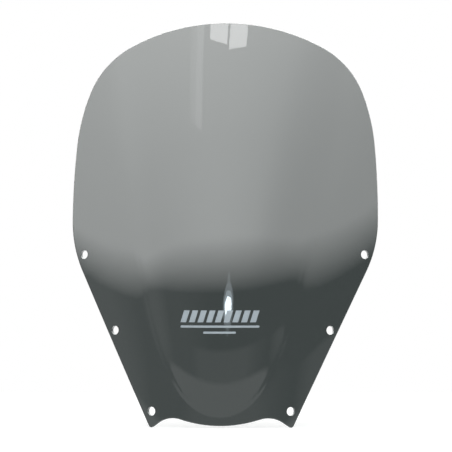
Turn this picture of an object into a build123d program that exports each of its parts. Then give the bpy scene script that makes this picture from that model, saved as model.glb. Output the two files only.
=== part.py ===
from build123d import *

import math
import os

# Motorcycle windshield screen: one sheet of smoked acrylic, heated and formed, with a bubble
# blown forward between two flanks, and a mark printed on its face. Millimetres. The rounded
# front faces -Y, +X is on the right seen from the front, and +Z is up. The form is set out
# from a datum point between the tips of the two lower ears, and the finished pieces are then
# moved so that the origin is centred under the sheet, level with its lowest point.

# Sheet
SHEET = 3.5                  # thickness of the acrylic
EDGE_RADIUS = 1.2            # polished rounding along the trimmed edge
MARGIN = 12.0                # untrimmed sheet beyond the outline
GRID = 10.0                  # spacing of the points that the face is fitted to
FACE_TOLERANCE = 0.005
NORMAL_STEP = 0.05           # distance over which the face's slope is taken

# Form of the outer face
LEAN_START = 24.6            # height at which the centre line stands upright
LEAN_RADIUS = 850.0          # radius by which the sheet leans back above that
FLANK_SLOPE = 1.182          # depth gained per millimetre of width, far out, at the datum
FLANK_TWIST = 0.00157        # how much of that slope is lost per millimetre of height
FLANK_NOSE = 148.6           # how blunt the flanks meet on the centre line
BUBBLE_FOOT = 15.9           # height at which the bubble starts on the centre line
BUBBLE_RISE = 10.9           # how far the bubble stands in front of the flanks
BUBBLE_RUN = 52.4            # height over which it rises
BUBBLE_RADIUS = 77.9         # radius of its horizontal section at the datum
BUBBLE_OPENING = 388.0       # height over which that radius grows e times
FOOT_BLEND = 0.8             # softness of the crease round the bubble's foot

# Trimmed outline seen from the front, from the top centre down to an ear
HEIGHT = 448.7
OUTLINE_ARCS = [             # radius and angle of each arc, each tangent to the one before
    (228.0, 28.1),           # over the top
    (98.2, 40.4),            # upper corner
    (220.5, 16.1),           # under the corner
    (902.0, 5.3),            # long, nearly straight side
    (135.0, 24.8),           # hip, where the side turns into the straight flank edge
]
LIP_HEIGHT = 2.0             # edge under the bubble, on the centre line
LIP_RADIUS = 147.0
LIP_ANGLE = 17.5
CREST_RADIUS = 28.1          # hollow between the lip and an ear
EAR_ANGLE = 35.4             # slope of the edge from the hollow down to the ear
EAR_RADIUS = 3.2             # rounding of the ear's tip

# Mounting holes, drilled square to the face, given by their outer centres
HOLE_DIAMETER = 9.5
HOLE_EDGE = 0.4              # polished rounding at both mouths
HOLE_PLACES = [(156.4, 190.2), (119.4, 106.6), (77.0, 17.8)]

# Printed mark: a row of slanted stripes over two thin bars
INK = 0.12
MARK_WIDTH = 87.0
STRIPE_COUNT = 9
STRIPE_HEIGHT = 13.0
STRIPE_LEAN = 4.0            # how far a stripe's top stands to the right of its foot
STRIPE_FILL = 0.66           # share of the row's pitch that is printed
STRIPE_LEVEL = 122.7
BAR_HEIGHT = 2.4
LONG_BAR_LEVEL = 111.5
SHORT_BAR_LEVEL = 104.9
SHORT_BAR_WIDTH = 36.0

THROUGH = 400.0              # reach of the cutting tools either side of the datum
DRILL_START = 5.0            # where a drill starts, in front of the face
DRILL_DEPTH = 15.0
RADIUS_MATCH = 0.01          # how closely a wall's radius has to match to be a hole's


def depth(x, z):
    """Y of the outer face: the bubble or the flank, whichever stands further forward."""
    lean = (z - LEAN_START) ** 2 / (2 * LEAN_RADIUS)
    sweep = math.hypot(FLANK_NOSE, x) - FLANK_NOSE
    flank = lean + (FLANK_SLOPE - FLANK_TWIST * z) * sweep
    rise = BUBBLE_RISE * (1 - math.exp((BUBBLE_FOOT - z) / BUBBLE_RUN))
    section_radius = BUBBLE_RADIUS * math.exp(z / BUBBLE_OPENING)
    bubble = lean - rise + x**2 / (2 * section_radius)
    return (bubble + flank) / 2 - math.hypot((bubble - flank) / 2, FOOT_BLEND)


def on_face(x, z):
    return Vector(x, depth(x, z), z)


def outward(x, z):
    """Unit normal of the outer face, pointing forwards."""
    across = on_face(x + NORMAL_STEP, z) - on_face(x - NORMAL_STEP, z)
    upward = on_face(x, z + NORMAL_STEP) - on_face(x, z - NORMAL_STEP)
    return across.cross(upward).normalized()


# The whole outline, drawn in the upright plane and pushed through the sheet
with BuildPart() as trimmer:
    with BuildSketch(Plane.XZ) as outline:
        with BuildLine():
            lip = JernArc((0, LIP_HEIGHT), (1, 0), LIP_RADIUS, LIP_ANGLE)
            crest = JernArc(lip @ 1, lip % 1, CREST_RADIUS, -LIP_ANGLE - EAR_ANGLE)
            ear_reach = Line(crest @ 1, crest @ 1 + crest % 1 * CREST_RADIUS, mode=Mode.PRIVATE)
            start = Vector(0, HEIGHT)
            heading = Vector(1, 0)
            for radius, angle in OUTLINE_ARCS:
                bend = JernArc(start, heading, radius, -angle)
                start = bend @ 1
                heading = bend % 1
            flank_edge = IntersectingLine(start, heading, ear_reach)
            Line(crest @ 1, flank_edge @ 1)
            mirror(about=Plane.YZ)
        make_face()
        fillet(outline.vertices().sort_by(Axis.Y)[:2], EAR_RADIUS)
    extrude(amount=THROUGH, both=True)

# The outer face: a smooth surface fitted to the form, then cut to the outline
half_width = outline.face().bounding_box().max.X + MARGIN
columns = math.ceil(2 * half_width / GRID)
rows = math.ceil((HEIGHT + 2 * MARGIN) / GRID)
formed = [
    [
        on_face(-half_width + 2 * half_width * column / columns, row * GRID - MARGIN)
        for column in range(columns + 1)
    ]
    for row in range(rows + 1)
]
whole_face = Face.make_surface_from_array_of_points(formed, tol=FACE_TOLERANCE, min_deg=3, max_deg=6)
outer_face = (whole_face & trimmer.part).face()
# thicken goes along the face's own normal; this sign turns it towards the rider
rearward = 1 if outer_face.normal_at().Y > 0 else -1

drill_planes = [
    Plane(origin=on_face(side * x, z) + outward(side * x, z) * DRILL_START, z_dir=outward(side * x, z))
    for x, z in HOLE_PLACES
    for side in (-1, 1)
]

with BuildPart() as screen:
    thicken(outer_face, amount=rearward * SHEET)
    broad_faces = screen.faces().sort_by(SortBy.AREA)[-2:]
    fillet(broad_faces.edges(), EDGE_RADIUS)
    with Locations(*drill_planes):
        Hole(HOLE_DIAMETER / 2, depth=DRILL_DEPTH)
    hole_walls = screen.faces().filter_by(GeomType.CYLINDER).filter_by(
        lambda wall: abs(wall.radius - HOLE_DIAMETER / 2) < RADIUS_MATCH
    )
    # the two mouths go right round a hole, the seam between them is only as long as the sheet
    hole_rims = hole_walls.edges().filter_by(lambda rim: rim.length > HOLE_DIAMETER)
    fillet(hole_rims, HOLE_EDGE)

# The print's shapes, pushed through the sheet to cut them out of the outer face
with BuildPart() as stencil:
    with BuildSketch(Plane.XZ):
        pitch = (MARK_WIDTH - STRIPE_LEAN) / (STRIPE_COUNT - 1 + STRIPE_FILL)
        foot = pitch * STRIPE_FILL
        with Locations((0, STRIPE_LEVEL)):
            with GridLocations(pitch, 1, STRIPE_COUNT, 1):
                Polygon(
                    (-STRIPE_LEAN / 2, 0),
                    (foot - STRIPE_LEAN / 2, 0),
                    (foot + STRIPE_LEAN / 2, STRIPE_HEIGHT),
                    (STRIPE_LEAN / 2, STRIPE_HEIGHT),
                    align=Align.CENTER,
                )
        with Locations((0, LONG_BAR_LEVEL)):
            SlotOverall(MARK_WIDTH, BAR_HEIGHT)
        with Locations((0, SHORT_BAR_LEVEL)):
            SlotOverall(SHORT_BAR_WIDTH, BAR_HEIGHT)
    extrude(amount=THROUGH, both=True)

printed_patches = (outer_face & stencil.part).faces()

with BuildPart() as printed_mark:
    for patch in printed_patches:
        thicken(patch, amount=-INK if patch.normal_at().Y > 0 else INK)

# Both pieces move together, so that the origin is centred under the sheet
box = screen.part.bounding_box()
home = Pos(-box.center().X, -box.center().Y, -box.min.Z)
screen.part.move(home)
printed_mark.part.move(home)

screen.part.label = "screen"
printed_mark.part.label = "printed_mark"

os.makedirs("parts", exist_ok=True)
export_step(screen.part, "parts/screen.step")
export_step(printed_mark.part, "parts/printed_mark.step")

print("moved by", home.position, "box", box.min, box.max, "volume", screen.part.volume)
for plane in drill_planes:
    middle = home.position + plane.origin - plane.z_dir * (DRILL_START + SHEET / 2)
    print("hole at", middle, "axis", plane.z_dir)
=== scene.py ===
import itertools
import math

import bpy
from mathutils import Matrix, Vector
from mathutils.geometry import delaunay_2d_cdt


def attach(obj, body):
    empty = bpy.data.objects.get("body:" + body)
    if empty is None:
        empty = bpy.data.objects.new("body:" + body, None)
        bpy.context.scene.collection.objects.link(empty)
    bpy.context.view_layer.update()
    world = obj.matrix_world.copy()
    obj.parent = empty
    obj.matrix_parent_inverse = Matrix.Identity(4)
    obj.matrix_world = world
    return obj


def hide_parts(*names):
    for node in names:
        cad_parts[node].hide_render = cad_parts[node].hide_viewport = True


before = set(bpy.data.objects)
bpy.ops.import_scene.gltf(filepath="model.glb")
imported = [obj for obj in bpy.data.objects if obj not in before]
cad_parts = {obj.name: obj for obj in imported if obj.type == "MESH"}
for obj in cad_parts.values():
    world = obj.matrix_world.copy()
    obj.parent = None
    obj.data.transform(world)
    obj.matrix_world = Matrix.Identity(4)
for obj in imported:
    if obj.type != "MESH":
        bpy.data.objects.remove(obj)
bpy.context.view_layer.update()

# The sheet and its print are made again, finely enough that no facets show in the reflections.
# They keep the dimensions of the CAD, in millimetres from a setting-out datum between the tips of
# the two ears, and this is where the datum lies in the row frame.
HOME_Y = -54.0831
HOME_Z = 0.4098
MM_PER_METRE = 1000

# Form of the outer face
SHEET = 3.5                  # thickness of the acrylic
EDGE_RADIUS = 1.2            # polished rounding along the trimmed edge
LEAN_START = 24.6            # height at which the centre line stands upright
LEAN_RADIUS = 850.0          # radius by which the sheet leans back above that
FLANK_SLOPE = 1.182          # depth gained per millimetre of width, far out, at the datum
FLANK_TWIST = 0.00157        # how much of that slope is lost per millimetre of height
FLANK_NOSE = 148.6           # how blunt the flanks meet on the centre line
BUBBLE_FOOT = 15.9           # height at which the bubble starts on the centre line
BUBBLE_RISE = 10.9           # how far the bubble stands in front of the flanks
BUBBLE_RUN = 52.4            # height over which it rises
BUBBLE_RADIUS = 77.9         # radius of its horizontal section at the datum
BUBBLE_OPENING = 388.0       # height over which that radius grows e times
FOOT_BLEND = 0.8             # softness of the crease round the bubble's foot
WELT_HEIGHT = 0.12           # faint raised line that the mould's clamp left along the crease
WELT_REACH = 0.5
SLOPE_STEP = 0.02            # distance over which the face's slope is taken

# Trimmed outline seen from the front, from the top centre down to an ear
HEIGHT = 448.7
OUTLINE_ARCS = [             # radius and angle of each arc, each tangent to the one before
    (228.0, 28.1),           # over the top
    (98.2, 40.4),            # upper corner
    (220.5, 16.1),           # under the corner
    (902.0, 5.3),            # long, nearly straight side
    (135.0, 24.8),           # hip, where the side turns into the straight flank edge
]
LIP_HEIGHT = 2.0             # edge under the bubble, on the centre line
LIP_RADIUS = 147.0
LIP_ANGLE = 17.5
CREST_RADIUS = 28.1          # hollow between the lip and an ear
EAR_ANGLE = 35.4             # slope of the edge from the hollow down to the ear
EAR_RADIUS = 3.2             # rounding of the ear's tip

# Mounting holes, drilled square to the face
HOLE_RADIUS = 4.75
HOLE_EDGE = 0.4              # polished rounding at both mouths
HOLE_PLACES = [(156.4, 190.2), (119.4, 106.6), (77.0, 17.8)]

# Printed mark: a row of slanted stripes over two thin bars
INK = 0.12
MARK_WIDTH = 87.0
STRIPE_COUNT = 9
STRIPE_HEIGHT = 13.0
STRIPE_LEAN = 4.0            # how far a stripe's top stands to the right of its foot
STRIPE_FILL = 0.66           # share of the row's pitch that is printed
STRIPE_LEVEL = 122.7
BAR_HEIGHT = 2.4
LONG_BAR_LEVEL = 111.5
SHORT_BAR_LEVEL = 104.9
SHORT_BAR_WIDTH = 36.0

# Mesh, in millimetres
STEP = 2.5                   # spacing of points along the edges and across the sheet
ROW_SPACING = math.sqrt(0.75)  # in steps, so that the grid's triangles have equal sides
CLEAR = 0.6                  # least distance, in steps, between a point of the grid and an edge
EDGE_ROWS = 5                # rows of faces round each half of a rounded edge
HOLE_POINTS = 48
TIP_PIECES = 14
INK_GAP = 0.02               # keeps the ink's back from lying in the same plane as the sheet
INSIDE_ONLY = 1              # the triangulation's mode that drops what lies outside the edges
MERGE_DISTANCE = 1e-6

# Camera: a little to the right of straight ahead, from far away with a long lens
CAMERA_AZIMUTH = math.radians(3.75)
CAMERA_DISTANCE = 6.0
VIEW_WIDTH = 0.5             # width of what the view takes in, in metres
SENSOR = 36.0
FAR_CLIP = 100.0
AIM = Vector((0.0, 45.0, 226.6))  # point on the sheet's own axis, in millimetres from the datum
AIM_RIGHT = 3.93             # how far the view's centre lies from there, in millimetres
AIM_UP = -4.66

# Studio, as the sheet mirrors it. A gradient runs over the mirrored direction's x or y, or over its
# rise above the horizon in degrees. It is given by where it starts and ends, and by the level
# before and after it. An edge is a start and an end only, and leads from one surface to another.
MATT_SHARE = 0.09            # how much of the mirrored studio's strength falls on matt surfaces
STUDIO_TINT = (0.985, 1.0, 0.99, 1)
WHITE = (1, 1, 1, 1)
LEAST_AHEAD = 0.3            # keeps the rise steady for directions that run sideways
CEILING_AHEAD = (24.07, 39.07, 7.155, 7.64)
CEILING_OVERHEAD = (39.07, 84.07, 0.0, 3.39)  # added to that
CEILING_CURVE = 0.294        # how the ceiling darkens to both sides
CEILING_TILT = 0.080         # how much more it darkens to the right
CEILING_RIGHT = (0.45, 0.62, 1.0, 0.94)
CEILING_FAR_RIGHT = (0.78, 0.92, 1.0, 1.08)
CEILING_EDGE = (13.98, 24.07)
LEFT_WALL = (-0.93, -0.86, 0.72, 0.36)
LEFT_WALL_EDGE = (-0.70, -0.25)
AHEAD_LEVEL = 0.15
RIGHT_WALL_EDGE = (0.80, 0.86)
RIGHT_WALL_LEAN = 0.033      # how far, in x, that edge leans out for each degree of rise
RIGHT_WALL_LEVEL = 0.50
BENCH = (0.50, 0.90, 0.55, 0.0)  # over x to either side
BENCH_EDGE = (-0.4, 1.2)
TABLE_EDGE = (-12.0, -9.8)
TABLE_LEVEL = 1.05
BEHIND_EDGE = (0.0, 0.15)
FLOOR_BEHIND = (-55.0, -4.0, 5.0, 0.8)

# Lamps, in metres, hidden from the camera
LAMP_DISTANCE = 2.5
# what an area lamp's energy is, for each unit of radiance and of its width times its height
ENERGY_PER_RADIANCE = {"RECTANGLE": 4.0, "ELLIPSE": math.pi}
FLASH_AT = Vector((0.005, -0.055, 0.132))      # the point of the sheet that mirrors the flash
FLASH_AWAY = Vector((0.103, -0.975, 0.190))    # the direction from there to the flash
FLASH_COLOUR = (0.80, 0.92, 1.0)
FLASHES = [                  # name, width, height and radiance, one inside the other
    ("flash", 0.34, 0.22, 24.0),
    ("flash_rim", 0.44, 0.34, 5.0),
    ("flash_glow", 0.52, 0.48, 2.0),
    ("flash_tail", 0.22, 0.66, 1.2),
]
PANEL_LEVEL = 0.42           # height of the part of the sheet that mirrors the window
PANEL_COLOUR = (1, 1, 1)
PANELS = [                   # name, azimuths and elevations in degrees, and radiance
    ("window_left", (-17.6, -4.3), (52.6, 62.0), 4.8),
    ("window_right", (-2.6, 10.6), (51.9, 62.0), 4.8),
    ("wall_strip_wide", (-31.0, -22.0), (37.0, 62.0), 0.45),
    ("wall_strip", (-27.0, -22.0), (37.0, 62.0), 0.5),
]

# Floor, in metres
FLOOR_NEAR = -3.0
FLOOR_FAR = 1.2
FLOOR_SIDE = 3.0
FLOOR_GREY = 0.8
FLOOR_GLOW = 0.55            # light of its own, so that it is as white as the backdrop

# Materials: a roughness is its least and most, a scale is features per metre, a height is in metres
ACRYLIC_TINT = (0.0467, 0.0560, 0.0550, 1)
ACRYLIC_IOR = 1.49
POLISHED = (0.012, 0.05)
DRILLED = (0.35, 0.5)
HAZE_SCALE = 14
HAZE_DETAIL = 5
HAZE_DISTORTION = 0.6
HAZE_SPREAD = (0.45, 0.75)   # part of the noise's range over which the roughness changes
WAVE_SCALE = 55
WAVE_DETAIL = 1
WAVE_STRENGTH = 1.0
WAVE_HEIGHT = 0.000012
INK_DARK = (0.27, 0.31, 0.34, 1)
INK_LIGHT = (0.36, 0.40, 0.43, 1)
INK_ROUGHNESS = (0.42, 0.55)
GRAIN_SCALE = 900
GRAIN_DETAIL = 3
GRAIN_SPREAD = (0.3, 0.7)
GRAIN_STRENGTH = 0.3
GRAIN_HEIGHT = 0.00004
MIX_COLOURS = (6, 7)         # a colour mix node's two colour inputs
MIX_RESULT = 2               # and its colour output


def depth(x, z):
    """Y of the outer face: the bubble or the flank, whichever stands further forward."""
    lean = (z - LEAN_START) ** 2 / (2 * LEAN_RADIUS)
    sweep = math.hypot(FLANK_NOSE, x) - FLANK_NOSE
    flank = lean + (FLANK_SLOPE - FLANK_TWIST * z) * sweep
    rise = BUBBLE_RISE * (1 - math.exp((BUBBLE_FOOT - z) / BUBBLE_RUN))
    bubble = lean - rise + x**2 / (2 * BUBBLE_RADIUS * math.exp(z / BUBBLE_OPENING))
    welt = WELT_HEIGHT * math.exp(-(((bubble - flank) / WELT_REACH) ** 2))
    return (bubble + flank) / 2 - math.hypot((bubble - flank) / 2, FOOT_BLEND) - welt


def slopes(x, z):
    """How fast the outer face gains depth to the right and upwards."""
    return (
        (depth(x + SLOPE_STEP, z) - depth(x - SLOPE_STEP, z)) / (2 * SLOPE_STEP),
        (depth(x, z + SLOPE_STEP) - depth(x, z - SLOPE_STEP)) / (2 * SLOPE_STEP),
    )


def home(point):
    """From millimetres from the datum to metres in the row frame."""
    return Vector((point.x, point.y + HOME_Y, point.z + HOME_Z)) / MM_PER_METRE


def turn(vector, angle):
    """A flat vector turned to the left by an angle."""
    cosine, sine = math.cos(angle), math.sin(angle)
    return Vector((vector.x * cosine - vector.y * sine, vector.x * sine + vector.y * cosine))


def arc(start, heading, radius, angle, pieces=None):
    """Points of an arc after its start, and the heading at its end. Positive angles turn left."""
    side = 1 if angle > 0 else -1
    centre = start + turn(heading, side * math.pi / 2) * radius
    pieces = pieces or max(2, math.ceil(radius * abs(angle) / STEP))
    points = [centre + turn(start - centre, angle * i / pieces) for i in range(1, pieces + 1)]
    return points, turn(heading, angle)


def straight(start, end):
    """Points of a straight line after its start."""
    pieces = max(1, math.ceil((end - start).length / STEP))
    return [start.lerp(end, i / pieces) for i in range(1, pieces + 1)]


def half_outline():
    """The right half of the outline in (x, z), from the bottom centre round to the top centre."""
    lip, heading = arc(Vector((0, LIP_HEIGHT)), Vector((1, 0)), LIP_RADIUS, math.radians(LIP_ANGLE))
    crest, down = arc(lip[-1], heading, CREST_RADIUS, -math.radians(LIP_ANGLE + EAR_ANGLE))
    upper = [Vector((0, HEIGHT))]
    heading = Vector((1, 0))
    for radius, angle in OUTLINE_ARCS:
        points, heading = arc(upper[-1], heading, radius, -math.radians(angle))
        upper += points
    # the ear: where the two straight edges would meet, rounded off
    foot, flank = crest[-1], upper[-1]
    gap = flank - foot
    cross = down.x * heading.y - down.y * heading.x
    corner = foot + down * ((gap.x * heading.y - gap.y * heading.x) / cross)
    opening = math.acos(down.dot(heading))
    reach = EAR_RADIUS / math.tan(opening / 2)
    tip_start = corner - down * reach
    tip, _ = arc(tip_start, down, EAR_RADIUS, math.pi - opening, TIP_PIECES)
    side = straight(foot, tip_start) + tip + straight(tip[-1], flank)[:-1]
    return [Vector((0, LIP_HEIGHT))] + lip + crest + side + upper[::-1]


def whole_outline():
    """The closed outline, anticlockwise seen from the front."""
    right = half_outline()
    left = [Vector((-point.x, point.y)) for point in right[-2:0:-1]]
    return right + left


def frame_at(x, z):
    """Point and outward normal of the outer face."""
    across, upward = slopes(x, z)
    return Vector((x, depth(x, z), z)), Vector((across, -1, upward)).normalized()


def rounded(radius, thickness):
    """Over an edge's section: distances inward and backward, and the normal's side and front parts."""
    front, rear = [], []
    for i in range(1, EDGE_ROWS + 1):
        sine, cosine = math.sin(math.pi / 2 * i / EDGE_ROWS), math.cos(math.pi / 2 * i / EDGE_ROWS)
        inward, back = radius * (1 - sine), radius * (1 - cosine)
        front.append((inward, back, sine, cosine))
        rear.append((inward, thickness - back, sine, -cosine))
    return front + rear[::-1]


def edge_loop(loop):
    """Frames along a closed outline: point, normal, and the direction in the face to the inside."""
    frames = []
    for i, place in enumerate(loop):
        before, after = loop[i - 1], loop[(i + 1) % len(loop)]
        point, normal = frame_at(*place)
        along = Vector((after.x, depth(*after), after.y)) - Vector((before.x, depth(*before), before.y))
        frames.append((point, normal, normal.cross(along).normalized()))
    return frames


def hole_loop(x, z):
    """Frames round a drilled hole; its inside is the sheet, so it points away from the axis."""
    centre, axis = frame_at(x, z)
    first = axis.cross(Vector((0, 0, 1))).normalized()
    second = first.cross(axis)
    frames = []
    for i in range(HOLE_POINTS):
        angle = 2 * math.pi * i / HOLE_POINTS
        out = first * math.cos(angle) + second * math.sin(angle)
        frames.append((centre + out * HOLE_RADIUS, axis, out))
    return frames


def far_from(loops, points, distance):
    """The points that lie at least that far from every point of the loops."""
    cells = {}
    for edge_point in itertools.chain(*loops):
        cells.setdefault((edge_point.x // distance, edge_point.y // distance), []).append(edge_point)
    kept = []
    for point in points:
        column, row = point.x // distance, point.y // distance
        beside = itertools.product((column - 1, column, column + 1), (row - 1, row, row + 1))
        near = [edge_point for cell in beside for edge_point in cells.get(cell, ())]
        if all((edge_point - point).length >= distance for edge_point in near):
            kept.append(point)
    return kept


def sheet_of(loops):
    """Triangles over the area inside the first loop and outside the others, in (x, z).

    Gives the points, the triangles, and which point each point of the loops has become.
    """
    xs, zs = [point.x for point in loops[0]], [point.y for point in loops[0]]
    row_step = STEP * ROW_SPACING
    rows = math.ceil((max(zs) - min(zs)) / row_step)
    columns = math.ceil((max(xs) - min(xs)) / STEP)
    grid = [
        Vector((min(xs) + (column + (row % 2) / 2) * STEP, min(zs) + row * row_step))
        for row in range(rows + 1)
        for column in range(columns + 1)
    ]
    points, edges, owner = [], [], []
    for number, loop in enumerate(loops):
        first = len(points)
        points += loop
        owner += [number] * len(loop)
        edges += [(first + i, first + (i + 1) % len(loop)) for i in range(len(loop))]
    for loop in loops[1:]:
        centre = sum(loop, Vector((0, 0))) / len(loop)
        reach = max((point - centre).length for point in loop)
        grid = [point for point in grid if (point - centre).length > reach]
    points += far_from(loops, grid, STEP * CLEAR)
    flat, _, faces, origins, _, _ = delaunay_2d_cdt(points, edges, [], INSIDE_ONLY, MERGE_DISTANCE)
    # the triangulation fills the holes too: there, all three corners lie on one hole's loop
    owners = [{owner[origin] for origin in sources if origin < len(owner)} for sources in origins]
    kept = []
    for face in faces:
        common = owners[face[0]] & owners[face[1]] & owners[face[2]]
        if not common - {0}:
            kept.append(face)
    used = sorted({corner for face in kept for corner in face})
    place = {corner: number for number, corner in enumerate(used)}
    source = {origin: place[corner] for corner in used for origin in origins[corner]}
    triangles = [tuple(place[corner] for corner in face) for face in kept]
    return [flat[corner] for corner in used], triangles, source


def piece(name, vertices, normals, faces, materials, cad_node, second=()):
    """A smooth mesh that stands for a CAD node. The faces in second take the second material."""
    mesh = bpy.data.meshes.new(name)
    mesh.from_pydata([home(vertex) for vertex in vertices], [], faces)
    mesh.polygons.foreach_set("use_smooth", [True] * len(faces))
    for material in materials:
        mesh.materials.append(material)
    for i in second:
        mesh.polygons[i].material_index = 1
    mesh.normals_split_custom_set_from_vertices([tuple(normal) for normal in normals])
    mesh.validate()
    thing = bpy.data.objects.new(name, mesh)
    bpy.context.scene.collection.objects.link(thing)
    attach(thing, "root")
    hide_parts(cad_node)


def make_screen(materials):
    """The sheet: two fine faces from one flat triangulation, joined round every edge."""
    borders = [(edge_loop(whole_outline()), EDGE_RADIUS)]
    for x, z in HOLE_PLACES:
        borders += [(hole_loop(side * x, z), HOLE_EDGE) for side in (1, -1)]
    loops = []
    for frames, radius in borders:
        rims = [point + inward * radius for point, _, inward in frames]
        loops.append([Vector((rim.x, rim.z)) for rim in rims])
    flat, triangles, place = sheet_of(loops)
    vertices, normals, faces = [], [], []
    for flat_point in flat:
        point, normal = frame_at(*flat_point)
        vertices.append(point)
        normals.append(normal)
    count = len(flat)
    for i in range(count):
        vertices.append(vertices[i] - normals[i] * SHEET)
        normals.append(-normals[i])
    for a, b, c in triangles:
        faces += [(a, b, c), (count + c, count + b, count + a)]
    start, walls = 0, []
    for (frames, radius), loop in zip(borders, loops):
        size, first_face = len(loop), len(faces)
        outer = [place[start + i] for i in range(size)]
        previous = outer
        for inward, back, side_part, front_part in rounded(radius, SHEET):
            ring = list(range(len(vertices), len(vertices) + size))
            for point, normal, inside in frames:
                vertices.append(point + inside * inward - normal * back)
                normals.append(-inside * side_part + normal * front_part)
            faces += join(previous, ring)
            previous = ring
        faces += join(previous, [count + i for i in outer])
        if radius == HOLE_EDGE:
            walls += range(first_face, len(faces))
        start += size
    piece("smoked_sheet", vertices, normals, faces, materials, "screen", walls)


def join(front, back):
    """Quads between two rings of the same length."""
    size = len(front)
    return [(front[i], back[i], back[(i + 1) % size], front[(i + 1) % size]) for i in range(size)]


def stadium(width, height, level):
    """A bar with round ends, anticlockwise."""
    radius = height / 2
    reach = width / 2 - radius
    loop = straight(Vector((-reach, level - radius)), Vector((reach, level - radius)))
    loop += arc(loop[-1], Vector((1, 0)), radius, math.pi, TIP_PIECES)[0]
    loop += straight(loop[-1], Vector((-reach, level + radius)))
    loop += arc(loop[-1], Vector((-1, 0)), radius, math.pi, TIP_PIECES)[0]
    return loop


def stripe(left, width):
    """A slanted bar, anticlockwise."""
    foot, top = STRIPE_LEVEL - STRIPE_HEIGHT / 2, STRIPE_LEVEL + STRIPE_HEIGHT / 2
    corners = [
        Vector((left, foot)),
        Vector((left + width, foot)),
        Vector((left + width + STRIPE_LEAN, top)),
        Vector((left + STRIPE_LEAN, top)),
    ]
    loop = []
    for start, end in zip(corners, corners[1:] + corners[:1]):
        loop += straight(start, end)
    return loop


def make_mark(materials):
    """The print: each shape is a thin skin that follows the outer face."""
    pitch = (MARK_WIDTH - STRIPE_LEAN) / (STRIPE_COUNT - 1 + STRIPE_FILL)
    shapes = [stripe(i * pitch - MARK_WIDTH / 2, pitch * STRIPE_FILL) for i in range(STRIPE_COUNT)]
    shapes.append(stadium(MARK_WIDTH, BAR_HEIGHT, LONG_BAR_LEVEL))
    shapes.append(stadium(SHORT_BAR_WIDTH, BAR_HEIGHT, SHORT_BAR_LEVEL))
    vertices, normals, faces = [], [], []
    for loop in shapes:
        flat, triangles, place = sheet_of([loop])
        first, count = len(vertices), len(flat)
        frames = [frame_at(*flat_point) for flat_point in flat]
        vertices += [point + normal * INK for point, normal in frames]
        vertices += [point + normal * INK_GAP for point, normal in frames]
        normals += [normal for _, normal in frames]
        normals += [-normal for _, normal in frames]
        for a, b, c in triangles:
            faces.append((first + a, first + b, first + c))
            faces.append((first + count + c, first + count + b, first + count + a))
        ring = [first + place[i] for i in range(len(loop))]
        faces += join(ring, [count + i for i in ring])
    piece("print", vertices, normals, faces, materials, "printed_mark")


def make_camera():
    """A level camera."""
    forward = Vector((-math.sin(CAMERA_AZIMUTH), math.cos(CAMERA_AZIMUTH), 0))
    right = Vector((math.cos(CAMERA_AZIMUTH), math.sin(CAMERA_AZIMUTH), 0))
    target = home(AIM + right * AIM_RIGHT + Vector((0, 0, AIM_UP)))
    data = bpy.data.cameras.new("camera")
    data.sensor_width = SENSOR
    data.lens = SENSOR * CAMERA_DISTANCE / VIEW_WIDTH
    data.clip_end = FAR_CLIP
    camera = bpy.data.objects.new("camera", data)
    camera.location = target - forward * CAMERA_DISTANCE
    camera.rotation_euler = forward.to_track_quat("-Z", "Y").to_euler()
    bpy.context.scene.collection.objects.link(camera)
    bpy.context.scene.camera = camera


def math_node(tree, operation, *values):
    made = tree.nodes.new("ShaderNodeMath")
    made.operation = operation
    for socket, value in zip(made.inputs, values):
        put(tree, socket, value)
    return made.outputs[0]


def ramp(tree, value, start, end, low, high):
    """low up to start, high from end on, and straight in between."""
    made = tree.nodes.new("ShaderNodeMapRange")
    numbers = {"Value": value, "From Min": start, "From Max": end, "To Min": low, "To Max": high}
    for name, number in numbers.items():
        put(tree, made.inputs[name], number)
    return made.outputs[0]


def put(tree, socket, value):
    """Gives a socket a number, or links another node's output to it."""
    if isinstance(value, (int, float)):
        socket.default_value = value
    else:
        tree.links.new(value, socket)


def background(tree, colour):
    made = tree.nodes.new("ShaderNodeBackground")
    made.inputs["Color"].default_value = colour
    return made


def ceiling_level(tree, x, rise):
    """A bright ceiling, brightest overhead, that darkens to both sides."""
    level = math_node(tree, "ADD", ramp(tree, rise, *CEILING_AHEAD), ramp(tree, rise, *CEILING_OVERHEAD))
    sideways = math_node(tree, "ADD", math_node(tree, "MULTIPLY", x, CEILING_CURVE), CEILING_TILT)
    falloff = math_node(tree, "SUBTRACT", 1.0, math_node(tree, "MULTIPLY", x, sideways))
    for share in (falloff, ramp(tree, x, *CEILING_RIGHT), ramp(tree, x, *CEILING_FAR_RIGHT)):
        level = math_node(tree, "MULTIPLY", level, share)
    return level


def room_level(tree, x, y, rise):
    """A dark room: darkest straight ahead, with paler walls, and a grey bench and a white table below."""
    room = ramp(tree, x, *LEFT_WALL)
    room = ramp(tree, x, *LEFT_WALL_EDGE, room, AHEAD_LEVEL)
    above = math_node(tree, "MAXIMUM", rise, 0.0)
    corner = math_node(tree, "SUBTRACT", x, math_node(tree, "MULTIPLY", above, RIGHT_WALL_LEAN))
    room = ramp(tree, corner, *RIGHT_WALL_EDGE, room, RIGHT_WALL_LEVEL)
    aside = math_node(tree, "ABSOLUTE", x)
    bench = math_node(tree, "MAXIMUM", room, ramp(tree, aside, *BENCH))
    room = ramp(tree, rise, *BENCH_EDGE, bench, room)
    room = ramp(tree, rise, *TABLE_EDGE, TABLE_LEVEL, room)
    # behind the object the floor is pale, so that the hollow side shows its form
    return ramp(tree, y, *BEHIND_EDGE, room, ramp(tree, rise, *FLOOR_BEHIND))


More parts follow.
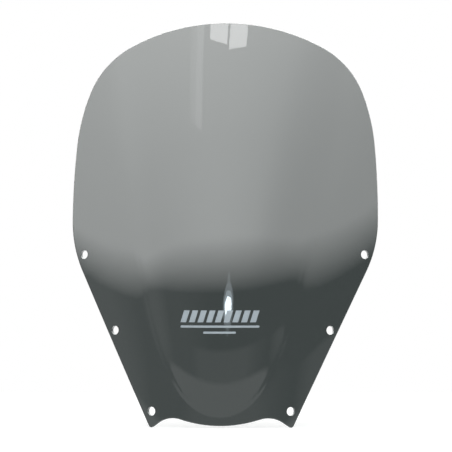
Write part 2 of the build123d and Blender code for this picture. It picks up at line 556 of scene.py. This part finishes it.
def make_world():
    """What is seen directly, or through the sheet, is white. What the sheet mirrors is the studio."""
    world = bpy.data.worlds.new("studio")
    bpy.context.scene.world = world
    world.use_nodes = True
    tree = world.node_tree
    tree.nodes.clear()
    coord = tree.nodes.new("ShaderNodeTexCoord")
    split = tree.nodes.new("ShaderNodeSeparateXYZ")
    tree.links.new(coord.outputs["Generated"], split.inputs[0])
    x, y, z = split.outputs
    away = math_node(tree, "MAXIMUM", math_node(tree, "ABSOLUTE", y), LEAST_AHEAD)
    rise = math_node(tree, "DEGREES", math_node(tree, "ARCTAN2", z, away))
    room, ceiling = room_level(tree, x, y, rise), ceiling_level(tree, x, rise)
    level = ramp(tree, rise, *CEILING_EDGE, room, ceiling)
    path = tree.nodes.new("ShaderNodeLightPath")
    share = ramp(tree, path.outputs["Is Glossy Ray"], 0.0, 1.0, MATT_SHARE, 1.0)
    studio, backdrop = background(tree, STUDIO_TINT), background(tree, WHITE)
    tree.links.new(math_node(tree, "MULTIPLY", level, share), studio.inputs["Strength"])
    seen = math_node(tree, "MAXIMUM", path.outputs["Is Camera Ray"], path.outputs["Is Transmission Ray"])
    mix = tree.nodes.new("ShaderNodeMixShader")
    out = tree.nodes.new("ShaderNodeOutputWorld")
    for socket, source in zip(mix.inputs, (seen, studio.outputs[0], backdrop.outputs[0])):
        tree.links.new(source, socket)
    tree.links.new(mix.outputs[0], out.inputs[0])


def lamp(name, shape, width, height, radiance, colour, location, rotation):
    """An area lamp that the sheet mirrors and the camera doesn't see."""
    data = bpy.data.lights.new(name, "AREA")
    data.shape = shape
    data.size = width
    data.size_y = height
    data.energy = radiance * ENERGY_PER_RADIANCE[shape] * data.size * data.size_y
    data.color = colour
    thing = bpy.data.objects.new(name, data)
    thing.location = location
    thing.rotation_euler = rotation
    thing.visible_camera = False
    thing.visible_transmission = False
    bpy.context.scene.collection.objects.link(thing)


def flash(name, width, height, radiance):
    """One ellipse of the flash beside the camera. Together they fade towards the rim."""
    away = FLASH_AWAY.normalized()
    turned = (-away).to_track_quat("-Z", "Y").to_euler()
    location = FLASH_AT + away * LAMP_DISTANCE
    lamp(name, "ELLIPSE", width, height, radiance, FLASH_COLOUR, location, turned)


def panel(name, azimuths, elevations, radiance):
    """An upright lit rectangle in front of the object, between the given angles in degrees."""
    middle = math.radians(sum(azimuths) / 2)
    half = math.radians(azimuths[1] - azimuths[0]) / 2
    low, high = (LAMP_DISTANCE * math.tan(math.radians(elevation)) for elevation in elevations)
    width = 2 * LAMP_DISTANCE * math.tan(half)
    across, ahead = LAMP_DISTANCE * math.sin(middle), -LAMP_DISTANCE * math.cos(middle)
    location = (across, ahead, (low + high) / 2 + PANEL_LEVEL)
    turned = (math.pi / 2, 0, middle)
    lamp(name, "RECTANGLE", width, high - low, radiance, PANEL_COLOUR, location, turned)


def make_lamps():
    """A flash beside the camera, a two-pane window high up, and a pale strip of wall beside it."""
    for values in FLASHES:
        flash(*values)
    for values in PANELS:
        panel(*values)


def new_material(name):
    material = bpy.data.materials.new(name)
    material.use_nodes = True
    return material, material.node_tree, material.node_tree.nodes["Principled BSDF"]


def set_inputs(node, values):
    for name, value in values.items():
        node.inputs[name].default_value = value


def noise(tree, scale, detail, distortion=0.0):
    """Noise over the object's own coordinates."""
    coord = tree.nodes.new("ShaderNodeTexCoord")
    made = tree.nodes.new("ShaderNodeTexNoise")
    set_inputs(made, {"Scale": scale, "Detail": detail, "Distortion": distortion})
    tree.links.new(coord.outputs["Object"], made.inputs["Vector"])
    return made.outputs["Fac"]


def emboss(tree, shader, relief, strength, height):
    """Gives a shader the fine relief of a noise."""
    made = tree.nodes.new("ShaderNodeBump")
    set_inputs(made, {"Strength": strength, "Distance": height})
    tree.links.new(relief, made.inputs["Height"])
    tree.links.new(made.outputs[0], shader.inputs["Normal"])


def make_floor():
    """White paper, level with the ears and kept out of what the sheet mirrors."""
    material, _, shader = new_material("paper floor")
    set_inputs(shader, {"Base Color": (FLOOR_GREY, FLOOR_GREY, FLOOR_GREY, 1), "Roughness": 1})
    set_inputs(shader, {"Specular IOR Level": 0, "Emission Color": WHITE, "Emission Strength": FLOOR_GLOW})
    mesh = bpy.data.meshes.new("floor")
    corners = [
        (-FLOOR_SIDE, FLOOR_NEAR, 0),
        (FLOOR_SIDE, FLOOR_NEAR, 0),
        (FLOOR_SIDE, FLOOR_FAR, 0),
        (-FLOOR_SIDE, FLOOR_FAR, 0),
    ]
    mesh.from_pydata(corners, [], [(0, 1, 2, 3)])
    mesh.materials.append(material)
    floor = bpy.data.objects.new("floor", mesh)
    floor.visible_glossy = False
    floor.visible_transmission = False
    bpy.context.scene.collection.objects.link(floor)


def smoked(name, roughness):
    """Smoked acrylic: clear and grey-green, with a faint uneven haze in its roughness."""
    material, tree, shader = new_material(name)
    set_inputs(shader, {"Base Color": ACRYLIC_TINT, "Transmission Weight": 1, "IOR": ACRYLIC_IOR})
    haze = noise(tree, HAZE_SCALE, HAZE_DETAIL, HAZE_DISTORTION)
    tree.links.new(ramp(tree, haze, *HAZE_SPREAD, *roughness), shader.inputs["Roughness"])
    # a heated sheet is never quite true: it keeps waves of about a hundredth of a millimetre
    emboss(tree, shader, noise(tree, WAVE_SCALE, WAVE_DETAIL), WAVE_STRENGTH, WAVE_HEIGHT)
    return material


def ink():
    """White screen ink, matt, with the fine grain of the mesh it was pressed through."""
    material, tree, shader = new_material("white ink")
    grain = noise(tree, GRAIN_SCALE, GRAIN_DETAIL)
    tone = tree.nodes.new("ShaderNodeMix")
    tone.data_type = "RGBA"
    for number, colour in zip(MIX_COLOURS, (INK_DARK, INK_LIGHT)):
        tone.inputs[number].default_value = colour
    tree.links.new(grain, tone.inputs["Factor"])
    tree.links.new(tone.outputs[MIX_RESULT], shader.inputs["Base Color"])
    tree.links.new(ramp(tree, grain, *GRAIN_SPREAD, *INK_ROUGHNESS), shader.inputs["Roughness"])
    emboss(tree, shader, grain, GRAIN_STRENGTH, GRAIN_HEIGHT)
    return material


make_camera()
make_world()
make_floor()
make_lamps()
# the second acrylic is for the drilled holes, which the drill left matt
make_screen([smoked("smoked acrylic", POLISHED), smoked("drilled acrylic", DRILLED)])
make_mark([ink()])
bpy.context.scene.view_settings.view_transform = "Standard"
